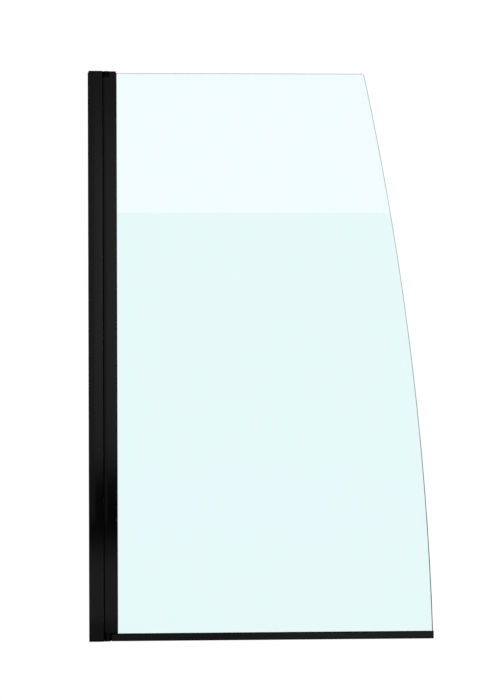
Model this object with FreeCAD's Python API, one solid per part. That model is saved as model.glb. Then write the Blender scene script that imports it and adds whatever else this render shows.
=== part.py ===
import FreeCAD, Part
import math
import os

# Sail-shaped bath screen: one sheet of glass on a full-height rise-and-fall hinge.
# X runs out from the wall, Z up from the bath rim, and the room is on the -Y side.
# The origin is on the wall, at the foot of the post, in the middle of its width.
# Millimetres.

V = FreeCAD.Vector

# Whole screen and its glass
overall_height = 1400.0
overall_width = 850.0
top_reach = 681.0
sail_bulge = 31.5
sail_corner_radius = 5.0
glass_thickness = 6.0
glass_arris = 0.9

# Post and the channel behind it
wall_gap = 2.0
post_reach = 36.7
post_width = 26.0
post_wall = 1.8
post_corner_radius = 5.5
post_back_radius = 0.8
channel_depth = 22.0
channel_wall = 1.6
slide_clearance = 0.2
web_position = 24.4
fixing_hole_radius = 2.6
cell_corner_radius = 0.6
port_radius = 2.8
port_sink = 0.5
fixing_outer_spacing = 1200.0
fixing_inner_spacing = 400.0

# Hinge
seam_gap = 0.8
barrel_radius = 8.0
barrel_bore = 5.6
rod_radius = 4.0
rod_flat_depth = 0.9
running_clearance = 0.05
moving_clearance = 0.3
hinge_lift = 10.0
notch_clearance = 1.5
cam_rest_height = 5.0
cam_dwell = 55.0
cam_clearance = 0.6
cam_step_clearance = 5.0
cam_ramp = 90.0
bush_overlap = 3.0
slide_bush_height = 24.0
flat_overrun = 1.0
rod_bevel = 0.5
rod_foot = 1.5
peg_radius = 1.0
peg_depth = 2.0

# Fin in the seam
fin_angle = 145.0
groove_mouth = 1.6
groove_lip = 1.4
groove_depth = 2.8
groove_head = 4.0
groove_wall = 1.6
fin_reach = 1.8
fin_tip = 0.6

# Profile that holds the glass
profile_end = 69.0
profile_wall = 2.8
profile_corner_radius = 0.8
profile_foot = 22.0
follower_plate = 2.0
glass_start = 58.0
floor_thickness = 1.5
leg_height = 14.0
leg_thickness = 2.0
strip_lip = 1.8
bead_setback = 2.0
bead_width = 1.4
bead_depth = 0.6
block_length = 60.0

# End caps
cap_thickness = 4.0
moving_cap_drop = 0.4
ear_margin = 1.5
cap_edge_bevel = 0.6
lug_height = 8.0
screen_thickness = 1.2
screen_reach = 58.0
screen_overlap = 1.5

# Seal under the glass
seal_height = 18.6
seal_width = 11.2
seal_start = 54.4
seal_base = 5.0
glass_foot = 9.5
end_cap_thickness = 1.2
end_cap_margin = 0.3
end_cap_bevel = 0.8
rim_clearance = 0.2
carrier_corner_radius = 1.4
carrier_foot_radius = 0.4
key_mouth = 4.4
key_width = 6.0
key_depth = 2.4
wiper_inset = 1.0
wiper_thickness = 1.4
fin_lean = 0.8
fin_root_width = 1.3
fin_edge_width = 0.7
fin_edge_radius = 0.2

# Fasteners
cap_screw_radius = 1.4
cap_screw_head = 3.2
cap_screw_length = 16.0
countersink = 2.0
socket_radius = 1.0
socket_depth = 1.2
thread_sides = 8
head_sides = 24
hexagon = 6
side_screw_radius = 1.75
side_screw_head = 3.6
side_screw_head_height = 2.2
side_screw_length = 8.0
side_screw_spacing = 550.0
cover_radius = 5.0
cover_height = 3.2
cover_edge = 1.2
cover_wall = 0.8

# Worked out from the above
axis_x = post_reach + seam_gap + barrel_radius
half_post = post_width / 2
post_foot = cap_thickness
post_top = overall_height - cap_thickness
middle_height = overall_height / 2
half_channel = half_post - post_wall - slide_clearance
ear_radius = barrel_radius + ear_margin
notch_radius = ear_radius + seam_gap
barrel_top = post_top - hinge_lift - notch_clearance
glass_top = post_top - moving_clearance
profile_floor = glass_start - floor_thickness
half_slot = barrel_radius - profile_wall
half_glass = glass_thickness / 2
bore_radius = rod_radius + running_clearance
bush_radius = barrel_bore - moving_clearance
bush_foot = barrel_top - bush_overlap
slide_bush_top = bush_foot - hinge_lift - flat_overrun
slide_bush_foot = slide_bush_top - slide_bush_height
cam_radius = barrel_radius
cam_top = cam_rest_height + hinge_lift
follower_top = profile_foot - follower_plate
ear_skin = cap_thickness / 4
rod_top = overall_height - ear_skin - moving_clearance
flat_x = axis_x + rod_radius - rod_flat_depth
seal_end = overall_width - end_cap_thickness
carrier_start = seal_start + end_cap_thickness
half_seal = seal_width / 2
chamber_start = web_position + post_wall
chamber_end = post_reach - post_wall
half_inner = half_post - post_wall
port_x = chamber_start + port_radius - port_sink
port_y = half_inner - port_radius + port_sink
groove_y = (barrel_radius + moving_clearance) * math.sin(math.radians(fin_angle))


# Rounded outline through corners given as (x, y, radius), as a face.
def outline(corners):
    edges = []
    starts = []
    ends = []
    arcs = []
    for i, (x, y, radius) in enumerate(corners):
        here = V(x, y, 0)
        before = V(corners[i - 1][0], corners[i - 1][1], 0)
        after = V(corners[(i + 1) % len(corners)][0], corners[(i + 1) % len(corners)][1], 0)
        back = (before - here).normalize()
        ahead = (after - here).normalize()
        if radius == 0:
            starts.append(here)
            ends.append(here)
            arcs.append(None)
            continue
        half_turn = back.getAngle(ahead) / 2
        tangent = radius / math.tan(half_turn)
        inward = (back + ahead).normalize()
        nearest = here + inward * (radius / math.sin(half_turn) - radius)
        starts.append(here + back * tangent)
        ends.append(here + ahead * tangent)
        arcs.append(Part.Arc(here + back * tangent, nearest, here + ahead * tangent).toShape())
    for i in range(len(corners)):
        if ends[i - 1].distanceToPoint(starts[i]) > 1e-6:
            edges.append(Part.LineSegment(ends[i - 1], starts[i]).toShape())
        if arcs[i]:
            edges.append(arcs[i])
    return Part.Face(Part.Wire(edges))


def rectangle(x0, x1, y0, y1, radius=0):
    return outline([(x0, y0, radius), (x1, y0, radius), (x1, y1, radius), (x0, y1, radius)])


def disc(radius, x=axis_x, y=0):
    return Part.Face(Part.Wire(Part.makeCircle(radius, V(x, y, 0))))


def upright(section, z0, z1):
    solid = section.extrude(V(0, 0, z1 - z0))
    solid.translate(V(0, 0, z0))
    return solid


# The section is drawn as (y, z) and runs along X.
def lengthwise(section, x0, x1):
    solid = section.extrude(V(0, 0, x1 - x0))
    solid.rotate(V(0, 0, 0), V(1, 1, 1), 120)
    solid.translate(V(x0, 0, 0))
    return solid


def pin(radius, z0, z1, x=axis_x, y=0):
    return Part.makeCylinder(radius, z1 - z0, V(x, y, z0))


def polygon(radius, sides, z):
    turns = [2 * math.pi * i / sides for i in range(sides + 1)]
    return [V(radius * math.cos(turn), radius * math.sin(turn), z) for turn in turns]


def turned(solid, here, way):
    solid.Placement = FreeCAD.Placement(here, FreeCAD.Rotation(V(0, 0, 1), way))
    return solid


# Prism inside the circle of that radius, which starts at here and runs along way.
def prism(radius, sides, length, here, way):
    return taper(radius, radius, sides, length, here, way)


def taper(start_radius, end_radius, sides, length, here, way):
    start, end = polygon(start_radius, sides, 0), polygon(end_radius, sides, length)
    outlines = [start, end]
    for i in range(sides):
        outlines.append([start[i], start[i + 1], end[i + 1], end[i], start[i]])
    faces = [Part.Face(Part.makePolygon(corners)) for corners in outlines]
    shell = Part.makeShell(faces)
    shell.sewShape()
    solid = Part.makeSolid(shell)
    if solid.Volume < 0:
        solid.reverse()
    return turned(solid, here, way)


def block(x0, x1, y0, y1, z0, z1):
    return Part.makeBox(x1 - x0, y1 - y0, z1 - z0, V(x0, y0, z0))


def joined(solids):
    return solids[0].multiFuse(solids[1:]).removeSplitter()


def edges_at(solid, test):
    return [edge for edge in solid.Edges if test(edge.CenterOfMass)]


def heights(spacing, count):
    return [middle_height + (i - (count - 1) / 2) * spacing for i in range(count)]


# U-shaped channel, screwed to the wall, that the post slides over.
def wall_channel():
    channel = rectangle(0, channel_depth, -half_channel, half_channel, post_back_radius)
    half_inside = half_channel - channel_wall
    inside = rectangle(channel_wall, channel_depth, -half_inside, half_inside)
    body = upright(channel.cut(inside), 0, post_top)
    for spacing in (fixing_outer_spacing, fixing_inner_spacing):
        for z in heights(spacing, 2):
            body = body.cut(Part.makeCylinder(fixing_hole_radius, channel_wall, V(0, 0, z), V(1, 0, 0)))
    for place in side_screw_places():
        body = body.cut(side_screw_shank(place))
    return body


def post_outline(x0, x1):
    return outline(
        [
            (x0, -half_post, post_back_radius),
            (x1, -half_post, post_corner_radius),
            (x1, half_post, post_corner_radius),
            (x0, half_post, post_back_radius),
        ]
    )


# T-shaped groove for the fin that closes the seam.
def fin_root():
    half_mouth, half_head = groove_mouth / 2, groove_head / 2
    head_start, head_end = post_reach - groove_depth, post_reach - groove_lip
    stem = rectangle((head_start + head_end) / 2, post_reach, groove_y - half_mouth, groove_y + half_mouth)
    head = rectangle(head_start, head_end, groove_y - half_head, groove_y + half_head)
    return [stem, head]


# Post extrusion: open to the wall over the channel, then a closed cell with two screw ports.
def hinge_post():
    section = post_outline(wall_gap, post_reach)
    section = section.cut(rectangle(0, web_position, -half_inner, half_inner))
    cell = outline(
        [
            (chamber_start, -half_inner, cell_corner_radius),
            (chamber_end, -half_inner, post_corner_radius - post_wall),
            (chamber_end, half_inner, post_corner_radius - post_wall),
            (chamber_start, half_inner, cell_corner_radius),
        ]
    )
    half_boss = groove_head / 2 + groove_wall
    boss_start = post_reach - groove_depth - groove_wall
    groove_boss = rectangle(boss_start, post_reach, groove_y - half_boss, groove_y + half_boss)
    cell = cell.cut(groove_boss)
    for side in (-1, 1):
        cell = cell.cut(disc(port_radius, port_x, side * port_y))
    section = section.cut([cell] + fin_root())
    body = upright(section, post_foot, post_top)
    for side in (-1, 1):
        foot = V(port_x, side * port_y, post_foot)
        body = body.cut(prism(cap_screw_radius, thread_sides, overall_height, foot, V(0, 0, 1)))
    for place in side_screw_places():
        body = body.cut(side_screw_shank(place))
    return body.removeSplitter()


def bevelled(section, z0, z1):
    solid = upright(section, z0, z1)
    return solid.makeChamfer(cap_edge_bevel, edges_at(solid, lambda c: c.z > z1 - 0.01))


def ear(radius, half_neck):
    neck = rectangle(post_reach - post_corner_radius, axis_x, -half_neck, half_neck)
    return neck.fuse(disc(radius)).removeSplitter()


# Countersunk screw in each port. The way is -1 down from the top and 1 up from the foot.
def cap_screw(side, way):
    here = V(port_x, side * port_y, overall_height if way < 0 else 0)
    head = taper(cap_screw_head, cap_screw_radius, head_sides, countersink, here, V(0, 0, way))
    return head.fuse(prism(cap_screw_radius, thread_sides, cap_screw_length, here, V(0, 0, way)))


def cap_screws(way):
    screws = []
    for side in (-1, 1):
        here = V(port_x, side * port_y, overall_height if way < 0 else 0)
        socket = prism(socket_radius, hexagon, socket_depth, here, V(0, 0, way))
        screws.append(cap_screw(side, way).cut(socket))
    return Part.Compound(screws)


def without_screws(cap, way):
    for side in (-1, 1):
        cap = cap.cut(cap_screw(side, way))
    return cap


def locating_lug(z0, z1):
    reach = port_y - port_radius
    return block(chamber_start, port_x + port_radius, -reach, reach, z0, z1)


# Plate up the back of the hinge that hides the room left for the lift, with a gusset to the post's cap.
def back_screen(z0, z1, gusset_z0, gusset_z1):
    y0 = barrel_radius + moving_clearance
    y1 = y0 + screen_thickness
    sheet = block(post_reach, screen_reach, y0, y1, z0, z1)
    return sheet.fuse(block(post_reach - post_corner_radius, axis_x, 0, y1, gusset_z0, gusset_z1))


# The ear's neck is narrow enough for the opened profile, risen past the cap, to swing by it.
def post_top_cap():
    neck_end = post_reach + seam_gap - moving_clearance
    half_neck = math.sqrt(ear_radius**2 - (axis_x - neck_end) ** 2)
    cap = bevelled(post_outline(wall_gap, post_reach), post_top, overall_height)
    cap = cap.fuse(bevelled(ear(ear_radius, half_neck), post_top, overall_height))
    cap = cap.fuse(locating_lug(post_top - lug_height, post_top))
    plate_top = overall_height - cap_edge_bevel
    cap = cap.fuse(back_screen(barrel_top - screen_overlap, plate_top, post_top, plate_top))
    cap = cap.cut(pin(bush_radius, post_top, overall_height - ear_skin)).removeSplitter()
    return without_screws(cap, -1)


# Foot of the post, open at the back for the channel, with a blind hole for the rod.
def post_bottom_cap():
    plate = post_outline(wall_gap, post_reach).fuse(ear(barrel_radius, barrel_radius)).removeSplitter()
    plate = plate.cut(rectangle(0, channel_depth, -half_channel, half_channel))
    cap = upright(plate, 0, post_foot).fuse(locating_lug(post_foot, post_foot + lug_height))
    cap = cap.fuse(back_screen(0, profile_foot + screen_overlap, 0, post_foot)).removeSplitter()
    cap = cap.cut(pin(bore_radius, rod_foot - moving_clearance, post_foot))
    for peg in cam_pegs():
        cap = cap.cut(peg)
    return without_screws(cap, 1)


# The cam's two pegs stop it from turning on the ear.
def cam_pegs():
    reach, foot = (bore_radius + cam_radius) / 2, post_foot - peg_depth
    length = cam_rest_height - foot
    feet = [V(axis_x, -reach, foot), V(axis_x, reach, foot)]
    return [prism(peg_radius, thread_sides, length, here, V(0, 0, 1)) for here in feet]


# Solid between two radii, under a helicoid that rises as it goes clockwise from the angle start.
def ramp(inner, outer, start, sweep, foot, low, high):
    def spoke(angle):
        return V(math.cos(math.radians(angle)), math.sin(math.radians(angle)), 0)

    def helix(radius):
        curve = Part.makeHelix((high - low) * 360.0 / sweep, high - low, radius, 0, True)
        curve.rotate(V(0, 0, 0), V(0, 0, 1), start)
        curve.translate(V(0, 0, low))
        return curve.Edges[0]

    def arc(radius):
        points = [spoke(start - sweep * share) * radius + V(0, 0, foot) for share in (0, 0.5, 1)]
        return Part.Arc(*points).toShape()

    def end(angle, top):
        near, far = spoke(angle) * inner, spoke(angle) * outer
        corners = [near + V(0, 0, foot), far + V(0, 0, foot), far + V(0, 0, top), near + V(0, 0, top)]
        return Part.Face(Part.makePolygon(corners + corners[:1]))

    faces = [
        Part.makeRuledSurface(helix(inner), helix(outer)),
        Part.makeRuledSurface(arc(inner), helix(inner)),
        Part.makeRuledSurface(arc(outer), helix(outer)),
        Part.makeRuledSurface(arc(inner), arc(outer)),
        end(start, low),
        end(start - sweep, high),
    ]
    shell = Part.makeShell(faces)
    shell.sewShape()
    solid = Part.makeSolid(shell)
    if solid.Volume < 0:
        solid.reverse()
    solid.translate(V(axis_x, 0, 0))
    return solid


def ring_sector(inner, outer, start, sweep, z0, z1):
    ring = Part.makeCylinder(outer, z1 - z0, V(0, 0, z0), V(0, 0, 1), sweep)
    ring = ring.cut(Part.makeCylinder(inner, z1 - z0, V(0, 0, z0)))
    ring.rotate(V(0, 0, 0), V(0, 0, 1), start - sweep)
    ring.translate(V(axis_x, 0, 0))
    return ring


# Two lobes, half a turn apart. Each has a ramp, a flat top and a stop face beside the dwell.
def cam_lobes(inner, outer, foot, raised, widened):
    low, high = cam_rest_height + raised, cam_top + raised
    plateau = 180.0 - cam_ramp - cam_dwell
    lobes = []
    for start in (270.0, 90.0):
        lobes.append(ramp(inner, outer, start, cam_ramp, foot, low, high))
        lobes.append(ring_sector(inner, outer, start - cam_ramp, plateau + widened, foot, high))
    return lobes


def lower_cam():
    ring = disc(cam_radius).cut(disc(bore_radius))
    sleeve = upright(ring, post_foot, cam_top)
    lobes = cam_lobes(bore_radius / 2, cam_radius * 1.2, post_foot, 0, 0)
    cam = sleeve.common(lobes[0].multiFuse(lobes[1:]))
    return joined([cam, upright(ring, post_foot, cam_rest_height)] + cam_pegs())


# The lobes' mirror image, hung from the plate that closes the foot of the glass profile.
def cam_follower():
    foot = cam_rest_height + cam_clearance
    spigot_top = profile_foot + slide_bush_height
    collar = upright(disc(cam_radius), foot, follower_top)
    inner, outer = bore_radius / 2, cam_radius * 1.2
    for lobe in cam_lobes(inner, outer, post_foot, cam_clearance, cam_step_clearance):
        collar = collar.cut(lobe)
    plate = profile_section().cut(rectangle(glass_start, profile_end, -half_glass, half_glass))
    body = collar.fuse(upright(plate, follower_top, profile_foot))
    body = body.fuse(upright(disc(barrel_bore), follower_top, spigot_top))
    for side in (-1, 1):
        body = body.fuse(cap_leg(side, profile_foot, profile_foot + leg_height))
    body = body.cut(upright(flatted(bore_radius), foot, spigot_top))
    return body.cut(pin(bore_radius, foot, follower_top)).removeSplitter()


# Round with one flat, for the rod and for the holes that it drives.
def flatted(radius):
    flat = flat_x + radius - rod_radius
    return disc(radius).cut(rectangle(flat, axis_x + 2 * radius, -radius, radius))


# Each flat is as long as its hole's travel.
def pivot_rod():
    rod = pin(rod_radius, rod_foot, rod_top)
    rod = rod.makeChamfer(rod_bevel, edges_at(rod, lambda c: min(c.z - rod_foot, rod_top - c.z) < 0.01))
    spans = [(cam_top, profile_foot + slide_bush_height), (slide_bush_foot, slide_bush_top)]
    for foot, head in spans:
        z0, z1 = foot - flat_overrun, head + hinge_lift + flat_overrun
        rod = rod.cut(block(flat_x, axis_x + rod_radius, -rod_radius, rod_radius, z0, z1))
    return rod


def upper_rod_bush():
    return upright(disc(bush_radius).cut(disc(bore_radius)), bush_foot, overall_height - ear_skin)


def upper_slide_bush():
    return upright(disc(barrel_bore).cut(flatted(bore_radius)), slide_bush_foot, slide_bush_top)


def profile_section():
    body = outline(
        [
            (axis_x, -barrel_radius, 0),
            (profile_end, -barrel_radius, profile_corner_radius),
            (profile_end, barrel_radius, profile_corner_radius),
            (axis_x, barrel_radius, 0),
        ]
    )
    return body.fuse(disc(barrel_radius)).removeSplitter()


def mirrored(section):
    return section.mirror(V(0, 0, 0), V(0, 1, 0))


# Groove in the channel's wall near its mouth, which keys the rubber strip.
def bead():
    x1 = profile_end - bead_setback
    return rectangle(x1 - bead_width, x1, half_slot - bead_depth, half_slot + bead_depth)


# Extrusion with the hinge barrel on one side and the glass channel on the other.
def glass_profile():
    cell_start = axis_x + barrel_bore + floor_thickness
    cell_end = profile_floor - floor_thickness
    half_cell = barrel_radius - profile_wall
    section = profile_section().cut(disc(barrel_bore))
    section = section.cut(rectangle(cell_start, cell_end, -half_cell, half_cell, cell_corner_radius))
    section = section.cut(rectangle(profile_floor, profile_end, -half_slot, half_slot))
    section = section.cut([bead(), mirrored(bead())])
    body = upright(section, profile_foot, post_top)
    return body.cut(pin(notch_radius, barrel_top, overall_height))


def cap_leg(side, z0, z1):
    inner, outer = half_glass, half_glass + leg_thickness
    y0, y1 = (inner, outer) if side > 0 else (-outer, -inner)
    inset = bead_setback + bead_width
    return block(glass_start, profile_end - inset, y0, y1, z0, z1)


# Lid of the glass profile, hollowed to turn round the post cap's ear.
def profile_top_cap():
    top = overall_height - moving_cap_drop
    cap = upright(profile_section(), post_top, top).cut(pin(notch_radius, post_top, top))
    rim = edges_at(cap, lambda c: c.z > top - 0.01)
    cap = cap.makeChamfer(cap_edge_bevel, rim)
    for side in (-1, 1):
        cap = cap.fuse(cap_leg(side, post_top - leg_height, post_top))
    return cap


# Curve of the free edge, as the circle through both ends and the bulge.
def sail_curve():
    foot = V(seal_end, glass_foot, 0)
    head = V(top_reach, glass_top, 0)
    outward = V(head.y - foot.y, foot.x - head.x, 0).normalize()
    return Part.Arc(foot, (foot + head) * 0.5 + outward * sail_bulge, head).toShape(), foot, head


def glass_panel():
    curve, foot, head = sail_curve()
    corners = [head, V(glass_start, glass_top, 0), V(glass_start, glass_foot, 0), foot]
    sides = [Part.LineSegment(a, b).toShape() for a, b in zip(corners, corners[1:])]
    pane = Part.Face(Part.Wire([curve] + sides)).extrude(V(0, 0, glass_thickness))
    pane.translate(V(0, 0, -half_glass))
    upper_corner = edges_at(pane, lambda c: (c - head).Length < 0.01)
    pane = pane.makeFillet(sail_corner_radius, upper_corner)

    def polished(c):
        return abs(abs(c.z) - half_glass) < 0.01 and c.x > glass_start + 1 and c.y > glass_foot + 1

    pane = pane.makeChamfer(glass_arris, edges_at(pane, polished))
    pane.rotate(V(0, 0, 0), V(1, 0, 0), 90)
    return pane


# Rubber strip between the glass and one wall of the channel. Only its lip passes the caps' legs.
def glazing_strip():
    strip_end = profile_end + strip_lip
    lip_start = profile_end - bead_setback - bead_width + moving_clearance
    strip = rectangle(glass_start, strip_end, half_glass, half_slot)
    low, high = profile_foot + leg_height, post_top - leg_height
    lip = upright(rectangle(lip_start, strip_end, half_glass, half_slot), profile_foot, post_top)
    return joined([lip] + [upright(section, low, high) for section in (strip, bead())])


def setting_blocks():
    blocks = []
    for z in heights(side_screw_spacing, 3):
        foot, head = z - block_length / 2, z + block_length / 2
        blocks.append(block(profile_floor, glass_start, -half_glass, half_glass, foot, head))
    return Part.Compound(blocks)


# Fin that reaches towards the barrel and never touches its flat side.
def hinge_gap_seal():
    tip, root = post_reach + fin_reach, post_reach - groove_lip / 2
    half_mouth, half_tip = groove_mouth / 2, fin_tip / 2
    fin = outline(
        [
            (root, groove_y - half_mouth, 0),
            (tip, groove_y - half_tip, 0),
            (tip, groove_y + half_tip, 0),
            (root, groove_y + half_mouth, 0),
        ]
    )
    return joined([upright(section, profile_foot, barrel_top) for section in fin_root() + [fin]])


def side_screw_places():
    return [V(channel_depth / 2, half_post, z) for z in heights(side_screw_spacing, 3)]


def side_screw_shank(place):
    return prism(side_screw_radius, thread_sides, side_screw_length, place, V(0, -1, 0))


def side_screw_top(place, height):
    return prism(side_screw_head, hexagon, height, place, V(0, 1, 0))


def side_screws():
    screws = []
    for place in side_screw_places():
        head = side_screw_top(place, side_screw_head_height)
        screws.append(head.fuse(side_screw_shank(place)))
    return Part.Compound(screws)


# Snap caps over the screws' hexagon heads.
def side_screw_covers():
    covers = []
    for place in side_screw_places():
        cover = Part.makeCylinder(cover_radius, cover_height, place, V(0, 1, 0))
        outer_rim = edges_at(cover, lambda c: c.y > half_post + cover_height - 0.01)
        cover = cover.makeChamfer(cover_edge, outer_rim)
        covers.append(cover.cut(side_screw_top(place, cover_height - cover_wall)))
    return Part.Compound(covers)


# Rail that grips the glass's lower edge, with a dovetail underneath for the wiper.
def seal_carrier():
    section = outline(
        [
            (-half_seal, seal_base, carrier_foot_radius),
            (half_seal, seal_base, carrier_foot_radius),
            (half_seal, seal_height, carrier_corner_radius),
            (-half_seal, seal_height, carrier_corner_radius),
        ]
    )
    section = section.cut(rectangle(-half_glass, half_glass, glass_foot, seal_height))
    return lengthwise(section.cut(wiper_key()), carrier_start, seal_end)


def wiper_key():
    return outline(
        [
            (-key_mouth / 2, seal_base, 0),
            (key_mouth / 2, seal_base, 0),
            (key_width / 2, seal_base + key_depth, 0),
            (-key_width / 2, seal_base + key_depth, 0),
        ]
    )


# Soft strip with three fins that brush the bath rim.
def wiper_fins():
    half_wiper = half_seal - wiper_inset
    fin_top = seal_base - wiper_thickness / 2
    half_root, half_edge = fin_root_width / 2, fin_edge_width / 2
    sections = [rectangle(-half_wiper, half_wiper, seal_base - wiper_thickness, seal_base), wiper_key()]
    for side in (-1, 0, 1):
        root = side * (half_wiper - half_root)
        edge = root + side * fin_lean
        fin = outline(
            [
                (edge - half_edge, rim_clearance, fin_edge_radius),
                (edge + half_edge, rim_clearance, fin_edge_radius),
                (root + half_root, fin_top, 0),
                (root - half_root, fin_top, 0),
            ]
        )
        sections.append(fin)
    return joined([lengthwise(section, carrier_start, seal_end) for section in sections])


def seal_end_caps():
    reach = half_seal + end_cap_margin
    head = seal_height + end_cap_margin
    face = rectangle(-reach, reach, rim_clearance, head, carrier_corner_radius)
    left = lengthwise(face, seal_start, carrier_start)
    left = left.makeChamfer(end_cap_bevel, edges_at(left, lambda c: c.x < seal_start + 0.01))
    right = lengthwise(face, seal_end, overall_width)
    right = right.makeChamfer(end_cap_bevel, edges_at(right, lambda c: c.x > overall_width - 0.01))
    return Part.Compound([left, right])


pieces = {
    "wall_channel": wall_channel(),
    "hinge_post": hinge_post(),
    "post_top_cap": post_top_cap(),
    "post_bottom_cap": post_bottom_cap(),
    "top_cap_screws": cap_screws(-1),
    "bottom_cap_screws": cap_screws(1),
    "side_fixing_screws": side_screws(),
    "side_screw_covers": side_screw_covers(),
    "hinge_gap_seal": hinge_gap_seal(),
    "lower_cam": lower_cam(),
    "upper_rod_bush": upper_rod_bush(),
    "pivot_rod": pivot_rod(),
    "glass_profile": glass_profile(),
    "profile_top_cap": profile_top_cap(),
    "cam_follower": cam_follower(),
    "upper_slide_bush": upper_slide_bush(),
    "glazing_gasket_front": mirrored(glazing_strip()),
    "glazing_gasket_back": glazing_strip(),
    "setting_blocks": setting_blocks(),
    "glass_panel": glass_panel(),
    "seal_carrier": seal_carrier(),
    "wiper_fins": wiper_fins(),
    "seal_end_caps": seal_end_caps(),
}

os.makedirs("parts", exist_ok=True)
for name, shape in pieces.items():
    shape.exportStep("parts/" + name + ".step")
    state = "valid" if shape.isValid() else "INVALID"
    print(name, state, round(shape.Volume / 1000, 2), "cm3", len(shape.Solids))
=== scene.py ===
import math

import bmesh
import bpy
from mathutils import Matrix, Vector

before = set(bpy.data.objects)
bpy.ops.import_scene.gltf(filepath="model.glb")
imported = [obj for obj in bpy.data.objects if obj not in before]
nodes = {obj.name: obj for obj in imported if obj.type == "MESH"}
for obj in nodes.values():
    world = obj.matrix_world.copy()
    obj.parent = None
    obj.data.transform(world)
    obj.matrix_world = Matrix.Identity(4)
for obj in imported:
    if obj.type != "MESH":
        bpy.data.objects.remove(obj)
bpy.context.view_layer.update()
print("bath screen loaded,", len(nodes), "nodes")


class Wire:
    # one shader socket, so that sums on it add Math nodes
    def __init__(self, tree, socket=None):
        self.tree = tree
        self.socket = socket

    def node(self, kind, settings=None, sockets=None, out=0):
        made = self.tree.nodes.new(kind)
        for name, value in (settings or {}).items():
            setattr(made, name, value)
        for name, value in (sockets or {}).items():
            if isinstance(value, Wire):
                self.tree.links.new(value.socket, made.inputs[name])
            else:
                made.inputs[name].default_value = value
        return Wire(self.tree, made.outputs[out])

    # the tree's last node has no socket to go on from
    def close(self, kind, shader):
        output = self.tree.nodes.new(kind)
        self.tree.links.new(shader.socket, output.inputs["Surface"])

    def sum(self, operation, first, second=0.0):
        return self.node("ShaderNodeMath", {"operation": operation}, {0: first, 1: second})

    def __add__(self, other):
        return self.sum("ADD", self, other)

    def __radd__(self, other):
        return self.sum("ADD", other, self)

    def __sub__(self, other):
        return self.sum("SUBTRACT", self, other)

    def __rsub__(self, other):
        return self.sum("SUBTRACT", other, self)

    def __mul__(self, other):
        return self.sum("MULTIPLY", self, other)

    def __rmul__(self, other):
        return self.sum("MULTIPLY", other, self)

    def __truediv__(self, other):
        return self.sum("DIVIDE", self, other)

    def __rtruediv__(self, other):
        return self.sum("DIVIDE", other, self)

    def __abs__(self):
        return self.sum("ABSOLUTE", self)

    # 0 below low, 1 above high, smooth between them
    def step(self, low, high):
        return self.node(
            "ShaderNodeMapRange",
            {"interpolation_type": "SMOOTHSTEP"},
            {"Value": self, "From Min": low, "From Max": high},
        )

    # a Mix node keeps its colours in sockets 6 and 7, and gives them in 2
    def blend(self, mask, first, second):
        return self.node(
            "ShaderNodeMix", {"data_type": "RGBA"}, {0: mask, 6: first, 7: second}, out=2
        )

    # Object and Normal turn with the piece, and in the world Generated is the way looked
    def own(self, name):
        return self.node("ShaderNodeTexCoord", out=name)

    def axis(self, name, source="Object"):
        return self.node("ShaderNodeSeparateXYZ", None, {"Vector": self.own(source)}, out=name)

    def noise(self, scale, stretch=(1, 1, 1), detail=3.0, rough=0.5):
        place = {"Vector": self.own("Object"), "Scale": stretch}
        return self.node("ShaderNodeTexNoise", {"noise_dimensions": "3D"}, {
            "Vector": self.node("ShaderNodeMapping", None, place),
            "Scale": scale,
            "Detail": detail,
            "Roughness": rough,
        })

    # 1 where the camera sees it, straight or through the glass, and 0 where it is mirrored
    def seen(self):
        direct = self.node("ShaderNodeLightPath", out="Is Camera Ray")
        through = self.node("ShaderNodeLightPath", out="Is Transmission Ray")
        return (direct + through).step(0.0, 1.0)


def newFinish(name):
    material = bpy.data.materials.new(name)
    material.use_nodes = True
    material.node_tree.nodes.clear()
    return material, Wire(material.node_tree)


# height is the relief in metres
def closeFinish(material, wire, height, sockets):
    bump = {"Height": height, "Strength": 1.0, "Distance": 1.0}
    sockets["Normal"] = wire.node("ShaderNodeBump", None, bump)
    wire.close("ShaderNodeOutputMaterial", wire.node("ShaderNodeBsdfPrincipled", None, sockets))
    return material


def dress(names, material):
    for name in names:
        mesh = nodes[name].data
        mesh.materials.clear()
        mesh.materials.append(material)


def grey(value, warm=0.0):
    return (value * (1 + warm), value, value * (1 - warm), 1.0)


# extruded aluminium, finished black: the pieces the eye falls on first
coatedAluminium = {
    "dark": 0.0010,
    "light": 0.0072,
    "warm": -0.02,
    "toneRange": (0.36, 0.64),
    "roughness": 0.035,
    "lineScale": 420.0,
    "lineStretch": (1, 1, 0.004),  # die lines run the length of the section
    "broadScale": 9.0,
    "broadStretch": (1, 1, 0.25),
    "peelScale": 900.0,
    "grainScale": 3200.0,
    "lineTone": 0.35,
    "broadTone": 0.15,
    "grainTone": 0.5,
    "lineRough": 0.02,
    "broadRough": 0.015,
    "grainRough": 0.015,
    "lineRelief": 0.00000064,  # height of each pattern
    "peelRelief": 0.00000064,
    "grainRelief": 0.00000008,
    "ior": 1.5,
    "crownEdge": 0.027,  # where the post's face starts to fall away
    "crown": 0.0,
    "barrelEdge": 0.0455,  # the hinge's axis, where the barrel is deepest
    "barrelRadius": 0.008,
    "barrelLeast": 0.002,
    "barrelTop": (0.2, 0.5),
    "barrelEase": 0.0,
}


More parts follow.
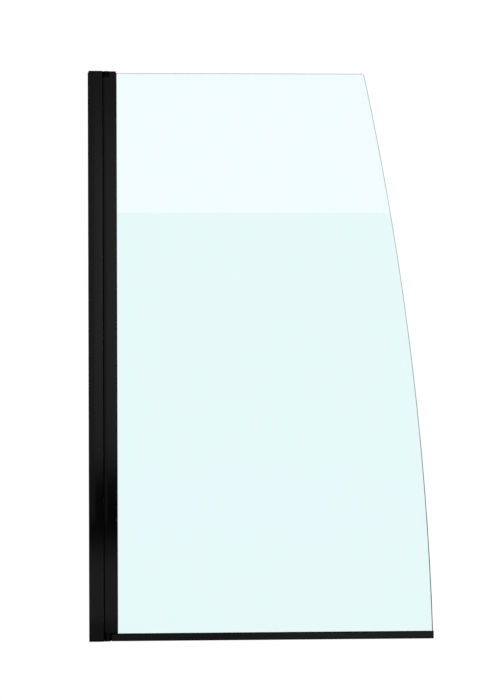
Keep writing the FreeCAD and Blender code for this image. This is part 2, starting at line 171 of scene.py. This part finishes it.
def coatedFinish(name, values):
    material, wire = newFinish(name)
    lines = wire.noise(values["lineScale"], values["lineStretch"], detail=4.0, rough=0.6)
    broad = wire.noise(values["broadScale"], values["broadStretch"], detail=2.0)
    peel = wire.noise(values["peelScale"], detail=2.0)
    grain = wire.noise(values["grainScale"], detail=2.0, rough=0.6)
    tone = grain * values["grainTone"] + lines * values["lineTone"] + broad * values["broadTone"]
    dark, light = grey(values["dark"], values["warm"]), grey(values["light"], values["warm"])
    rough = lines * values["lineRough"] + broad * values["broadRough"]
    height = lines * values["lineRelief"] + peel * values["peelRelief"]
    height = height + grain * values["grainRelief"]
    if values["crown"]:  # the post's broad face falls away a little towards the wall
        fall = wire.sum("MAXIMUM", values["crownEdge"] - wire.axis("X"))
        height = height - fall * fall * values["crown"]
    if values["barrelEase"]:  # the barrel's turn beside the seam reads flatter, as photographed
        deep = wire.sum("MAXIMUM", abs(wire.axis("Y")), values["barrelLeast"])
        turned = wire.sum("LOGARITHM", deep / values["barrelRadius"], math.e)
        barrel = wire.sum("LESS_THAN", wire.axis("X"), values["barrelEdge"])
        upward = abs(wire.axis("Z", "Normal")).step(*values["barrelTop"])
        eased = turned * values["barrelRadius"] * barrel * (1 - upward)
        height = height - eased * values["barrelEase"]
    return closeFinish(material, wire, height, {
        "Base Color": wire.blend(tone.step(*values["toneRange"]), dark, light),
        "Roughness": values["roughness"] + rough + grain * values["grainRough"],
        "IOR": values["ior"],
    })


dress(["hinge_post"], coatedFinish("blackPost", dict(coatedAluminium, crown=1.75)))
dress(["glass_profile"], coatedFinish("blackProfile", dict(coatedAluminium, barrelEase=0.62)))
dress(["wall_channel"], coatedFinish("blackChannel", coatedAluminium))
print("black sections finished")


# moulded black nylon: caps, bushes, cams and covers
mouldedNylon = {
    "dark": 0.0012,
    "light": 0.0056,
    "toneRange": (0.36, 0.64),
    "roughness": 0.31,
    "sparkScale": 2600.0,
    "flowScale": 60.0,
    "sparkTone": 0.6,
    "flowTone": 0.4,
    "sparkRough": 0.06,
    "flowRough": 0.04,
    "relief": 0.00002,
    "ior": 1.3,
}


def nylonFinish(name, values):
    material, wire = newFinish(name)
    spark = wire.noise(values["sparkScale"], detail=2.0)
    flow = wire.noise(values["flowScale"])
    tone = (spark * values["sparkTone"] + flow * values["flowTone"]).step(*values["toneRange"])
    rough = spark * values["sparkRough"] + flow * values["flowRough"]
    return closeFinish(material, wire, spark * values["relief"], {
        "Base Color": wire.blend(tone, grey(values["dark"]), grey(values["light"])),
        "Roughness": values["roughness"] + rough,
        "IOR": values["ior"],
    })


nylon = nylonFinish("mouldedNylon", mouldedNylon)
glossNylon = nylonFinish("runningNylon", dict(mouldedNylon, roughness=0.21, relief=0.000008))
dress(["post_top_cap", "post_bottom_cap", "profile_top_cap", "seal_end_caps"], nylon)
dress(["side_screw_covers"], nylon)
dress(["lower_cam", "cam_follower", "upper_rod_bush", "upper_slide_bush"], glossNylon)
print("nylon pieces finished")


# ground stainless rod and screws, and the blackened screws of the top cap
groundSteel = {
    "colour": (0.56, 0.57, 0.58, 1),
    "stain": 0.72,
    "stainScale": 40.0,
    "stainRange": (0.35, 0.75),
    "roughness": 0.2,
    "grindScale": 1400.0,
    "grindStretch": (0.02, 0.02, 1),  # the wheel leaves rings round the rod
    "grindRough": 0.12,
    "relief": 0.000006,
}
blackenedSteel = dict(
    groundSteel,
    colour=(0.045, 0.045, 0.048, 1),
    roughness=0.3,
    grindScale=2400.0,
    grindStretch=(1, 1, 1),
)


def steelFinish(name, values):
    material, wire = newFinish(name)
    grind = wire.noise(values["grindScale"], values["grindStretch"], rough=0.6)
    stain = wire.noise(values["stainScale"], detail=2.0).step(*values["stainRange"])
    stained = tuple(values["stain"] * part for part in values["colour"][:3]) + (1.0,)
    return closeFinish(material, wire, grind * values["relief"], {
        "Base Color": wire.blend(stain, values["colour"], stained),
        "Metallic": 1.0,
        "Roughness": values["roughness"] + grind * values["grindRough"],
    })


stainless = steelFinish("groundRod", groundSteel)
dress(["pivot_rod", "bottom_cap_screws", "side_fixing_screws"], stainless)
dress(["top_cap_screws"], steelFinish("blackenedScrew", blackenedSteel))
print("rod and screws finished")


# extruded rubber: gaskets, the hinge fin, the fins under the seal, and the setting blocks
blackRubber = {
    "dark": 0.0035,
    "light": 0.0075,
    "bloomScale": 35.0,
    "bloomRange": (0.4, 0.75),
    "roughness": 0.5,
    "dragScale": 500.0,
    "dragStretch": (1, 1, 0.01),  # drag lines run up the piece
    "dragRough": 0.1,
    "relief": 0.00003,
    "ior": 1.5,
}


def rubberFinish(name, values):
    material, wire = newFinish(name)
    drag = wire.noise(values["dragScale"], values["dragStretch"], rough=0.6)
    bloom = wire.noise(values["bloomScale"], detail=4.0, rough=0.6).step(*values["bloomRange"])
    return closeFinish(material, wire, drag * values["relief"], {
        "Base Color": wire.blend(bloom, grey(values["dark"]), grey(values["light"])),
        "Roughness": values["roughness"] + drag * values["dragRough"],
        "IOR": values["ior"],
    })


uprightRubber = rubberFinish("uprightRubber", blackRubber)
sillRubber = rubberFinish("sillRubber", dict(blackRubber, dragStretch=(0.01, 1, 1)))
lipRubber = rubberFinish("lipRubber", dict(blackRubber, dark=0.0010, light=0.0024, ior=1.2))
dress(["hinge_gap_seal"], uprightRubber)
dress(["glazing_gasket_front", "glazing_gasket_back"], lipRubber)
dress(["wiper_fins", "setting_blocks"], sillRubber)
print("rubber finished")


# extruded seal rail: hard glossy body, and a soft matt lip along its top against the glass
sealRail = {
    "dark": 0.0026,
    "light": 0.0042,
    "toneRange": (0.35, 0.65),
    "lipRange": (0.0164, 0.0168),
    "drawnScale": 600.0,
    "drawnStretch": (0.004, 1, 1),
    "broadScale": 14.0,
    "drawnTone": 0.6,
    "broadTone": 0.4,
    "drawnRough": 0.1,
    "relief": 0.000003,
    "roughness": 0.42,
    "ior": 1.22,
    "coatRoughness": 0.12,
    "coatIor": 1.5,
}


def railFinish(values):
    material, wire = newFinish("sealRail")
    drawn = wire.noise(values["drawnScale"], values["drawnStretch"], detail=4.0, rough=0.6)
    broad = wire.noise(values["broadScale"], detail=2.0)
    tone = (drawn * values["drawnTone"] + broad * values["broadTone"]).step(*values["toneRange"])
    return closeFinish(material, wire, drawn * values["relief"], {
        "Base Color": wire.blend(tone, grey(values["dark"]), grey(values["light"])),
        "Roughness": values["roughness"] + drawn * values["drawnRough"],
        "IOR": values["ior"],
        "Coat Weight": 1 - wire.axis("Z").step(*values["lipRange"]),
        "Coat Roughness": values["coatRoughness"],
        "Coat IOR": values["coatIor"],
    })


dress(["seal_carrier"], railFinish(sealRail))
print("seal rail finished")


# clear toughened glass with a faint cool tint and polished edges
clearGlass = {
    "face": (0.80, 0.955, 0.955, 1),
    "cloudFace": (0.805, 0.957, 0.957, 1),
    "cloudScale": 3.0,
    # painted light: a lighter face tint at the heights of the mirrored dark band
    "paintedLightBand": (0.816, 0.967, 0.969, 1),
    "bandFoot": (0.16, 0.31),  # heights between which the band comes in, and goes out
    "bandHead": (0.37, 0.46),
    # painted shade: the edge's tint darkens towards its foot, and the upward edge is darker still
    "highEdge": (0.40, 0.46, 0.45, 1),
    "edgeFootShade": (0.004, 0.008, 0.007, 1),
    "edgeShadeClimb": (0.10, 1.0),
    "topEdgeShade": (0.018, 0.030, 0.027, 1),
    "topRange": (0.4, 0.6),  # by how far the normal turns up
    "faceRange": (0.80, 0.97),  # by how far it turns to the front or back
    "edgeDepth": 0.0018,
    "edgeBlur": 0.0002,
    "edgeRoughness": 0.05,
    "ior": 1.5,
    # painted shade in the corner between the profile and the rail
    "cornerShadeSide": (0.0705, 0.0708),
    "cornerShadeTop": (0.0222, 0.0226),
    "sailHead": (0.681, 1.3957),
    "sailFoot": (0.8488, 0.0095),
    "sailBulge": 0.0315,
    "ripple": 0.0000015,
}


# the free edge is an arc: its middle and radius from its two ends and its bulge
def sailCircle(values):
    head, foot, bulge = Vector(values["sailHead"]), Vector(values["sailFoot"]), values["sailBulge"]
    chord = (head - foot).length
    radius = (chord * chord / 4 + bulge * bulge) / (2 * bulge)
    outward = Vector((head.y - foot.y, foot.x - head.x)).normalized()
    return (head + foot) / 2 - outward * (radius - bulge), radius


def sailEdge(wire, values):
    middle, radius = sailCircle(values)
    factors = {0: wire.own("Object"), 1: (1, 0, 1)}
    flat = wire.node("ShaderNodeVectorMath", {"operation": "MULTIPLY"}, factors)
    ends = {0: flat, 1: (middle.x, 0, middle.y)}
    reach = wire.node("ShaderNodeVectorMath", {"operation": "DISTANCE"}, ends, out="Value")
    start = radius - values["edgeDepth"]
    return reach.step(start - values["edgeBlur"], start)


def glassFinish(values):
    material, wire = newFinish("clearGlass")
    # the ground and polished edge is tinted deeper and greener than the faces; its darkening
    # towards its foot, and on its upward arrises, is painted shade
    bevel = 1 - abs(wire.axis("Y", "Normal")).step(*values["faceRange"])
    upward = wire.axis("Z", "Normal").step(*values["topRange"])
    shadeClimb = wire.axis("Z").step(*values["edgeShadeClimb"])
    edgeTintAndShade = wire.blend(shadeClimb, values["edgeFootShade"], values["highEdge"])
    # painted shade: the glass is darkened to the edge's foot colour in the corner between the
    # profile and the rail
    beside = 1 - wire.axis("X").step(*values["cornerShadeSide"])
    cornerShade = beside * (1 - wire.axis("Z").step(*values["cornerShadeTop"]))
    edge = wire.sum("MAXIMUM", wire.sum("MAXIMUM", bevel, sailEdge(wire, values)), cornerShade)
    # painted light: the faces are tinted lighter at the heights where the surround's dark band is
    # mirrored in them, to offset that reflection
    cloud = wire.noise(values["cloudScale"], detail=2.0)
    face = wire.blend(cloud, values["face"], values["cloudFace"])
    foot, head = (wire.axis("Z").step(*values[end]) for end in ("bandFoot", "bandHead"))
    face = wire.blend(foot * (1 - head), face, values["paintedLightBand"])
    return closeFinish(material, wire, cloud * values["ripple"], {
        "Base Color": wire.blend(edge, face, wire.blend(upward, edgeTintAndShade, values["topEdgeShade"])),
        "Roughness": edge * values["edgeRoughness"],
        "IOR": values["ior"],
        "Transmission Weight": 1.0,
    })


dress(["glass_panel"], glassFinish(clearGlass))
print("glass finished")


# stage: pale floor, white surround and soft studio light
paleFloor = {
    "radius": 4.2,
    "sides": 96,
    "white": (1.02, 1.02, 1.02, 1),
    "mirrored": 0.28,  # what glossy surfaces see of it
    "farRange": (1.65, 3.9),  # from the foot of the screen
    "farLoss": 0.93,
    # painted shadow round the screen's foot, as glossy surfaces see the floor
    "nearShadowRange": (0.29, 0.68),
    "nearShadowLoss": 0.13,
}


def makeFloor(values):
    mesh = bpy.data.meshes.new("paleFloor")
    bm = bmesh.new()
    radius, sides = values["radius"], values["sides"]
    bmesh.ops.create_circle(bm, cap_ends=True, radius=radius, segments=sides)
    bm.to_mesh(mesh)
    bm.free()
    floor = bpy.data.objects.new("paleFloor", mesh)
    bpy.context.scene.collection.objects.link(floor)
    material, wire = newFinish("paleFloor")
    place = {0: wire.own("Object")}
    reach = wire.node("ShaderNodeVectorMath", {"operation": "LENGTH"}, place, out="Value")
    far = reach.step(*values["farRange"]) * values["farLoss"]
    # painted shadow: near the screen's foot the floor is darker as glossy surfaces see it
    near = (1 - reach.step(*values["nearShadowRange"])) * values["nearShadowLoss"]
    mirrored = (1 - far) * values["mirrored"] - near
    colour = {"Color": wire.blend(wire.seen(), mirrored, values["white"])}
    wire.close("ShaderNodeOutputMaterial", wire.node("ShaderNodeEmission", None, colour))
    mesh.materials.append(material)


surround = {
    "white": (1.02, 1.02, 1.02, 1),
    # what glossy surfaces see round about, by height in degrees above the horizon
    "heights": [
        (-90, 0.10), (-12, 0.06), (-5.4, 0.015), (-3.2, 0.01), (-2.9, 0.06), (-2.72, 0.24),
        (-2.4, 0.33), (-1.8, 0.35), (0.0, 0.40), (3.8, 0.40), (4.8, 0.34), (6.4, 0.20),
        (12, 0.20), (45, 0.40), (90, 0.75),
    ],
    # to the left it is evener
    "leftRange": (0.05, 0.13),
    "leftShare": 0.65,
    "leftGlow": 0.19,
}


def makeSurround(values):
    world = bpy.data.worlds.new("studio")
    world.use_nodes = True
    world.node_tree.nodes.clear()
    wire = Wire(world.node_tree)
    up = wire.sum("ARCSINE", wire.axis("Z", "Generated")) * (180 / math.pi)
    # a colour ramp is too coarse near the horizon, so each stretch of heights adds its own step
    stops = values["heights"]
    glow = stops[0][1]
    for (low, dim), (high, bright) in zip(stops, stops[1:]):
        glow = glow + up.step(low, high) * (bright - dim)
    left = (0 - wire.axis("X", "Generated")).step(*values["leftRange"]) * values["leftShare"]
    glow = glow * (1 - left) + left * values["leftGlow"]
    colour = {"Color": wire.blend(wire.seen(), glow, values["white"])}
    wire.close("ShaderNodeOutputWorld", wire.node("ShaderNodeBackground", None, colour))
    bpy.context.scene.world = world


softboxes = {
    "glassCard": {
        "place": (0.65, -5.95, 1.797),
        "target": (0.65, 0, 1.797),
        "size": (1.9, 0.8),
        "radiance": 2.2,
        "colour": (1, 0.33, 0.38),
        "only": ["glass_panel"],  # a card that shows only in the glass
    },
    "cornerBox": {
        "place": (2.05, -5.54, 1.30),
        "target": (0.04, 0, 1.06),
        "size": (1.2, 0.7),
        "radiance": 0.5,
    },
    "keyBox": {
        "place": (-1.6, -3.2, 2.6),
        "target": (0.2, 0, 0.7),
        "size": (1.0, 1.0),
        "radiance": 1.2,
    },
    "backBox": {
        "place": (1.8, 3.4, 2.4),
        "target": (0.3, 0, 0.7),
        "size": (1.6, 1.6),
        "radiance": 1.0,
    },
}


def makeSoftbox(name, values):
    light = bpy.data.lights.new(name, "AREA")
    light.color = values.get("colour", (1, 1, 1))
    light.shape = "RECTANGLE"
    light.size, light.size_y = values["size"]
    light.energy = values["radiance"] * math.pi * light.size * light.size_y
    box = bpy.data.objects.new(name, light)
    bpy.context.scene.collection.objects.link(box)
    aim = (Vector(values["target"]) - Vector(values["place"])).to_track_quat("-Z", "Y")
    box.matrix_world = Matrix.Translation(values["place"]) @ aim.to_matrix().to_4x4()
    box.visible_camera = False
    box.visible_transmission = False
    if "only" in values:
        group = bpy.data.collections.new(name + "Pieces")
        for piece in values["only"]:
            group.objects.link(nodes[piece])
        box.light_linking.receiver_collection = group


makeFloor(paleFloor)
makeSurround(surround)
for name, values in softboxes.items():
    makeSoftbox(name, values)


# the photograph's view: a long lens, about level with the middle of the screen
photoView = {
    "focalPixels": 2400.0,
    "picturePixels": 700.0,
    "sensor": 36.0,
    "place": (0.0927, -5.9073, 0.7101),
    "yaw": 2.940,
    "pitch": 0.042,
    "roll": -0.160,
    "farthest": 60.0,
}


def makeCamera(values):
    yaw, pitch, roll = (math.radians(values[turn]) for turn in ("yaw", "pitch", "roll"))
    level = math.cos(pitch)
    ahead = Vector((math.sin(yaw) * level, math.cos(yaw) * level, math.sin(pitch)))
    right = ahead.cross(Vector((0, 0, 1))).normalized()
    up = right.cross(ahead)
    leanRight = math.cos(roll) * right + math.sin(roll) * up
    leanUp = math.cos(roll) * up - math.sin(roll) * right
    turn = Matrix((leanRight, leanUp, -ahead)).transposed()
    camera = bpy.data.cameras.new("photoView")
    camera.sensor_fit = "VERTICAL"
    camera.sensor_height = values["sensor"]
    camera.lens = values["focalPixels"] * values["sensor"] / values["picturePixels"]
    camera.clip_end = values["farthest"]
    holder = bpy.data.objects.new("photoView", camera)
    bpy.context.scene.collection.objects.link(holder)
    holder.matrix_world = Matrix.Translation(values["place"]) @ turn.to_4x4()
    bpy.context.scene.camera = holder


makeCamera(photoView)
bpy.context.scene.view_settings.view_transform = "Standard"
bpy.context.scene.view_settings.look = "None"
print("stage, light and camera set")
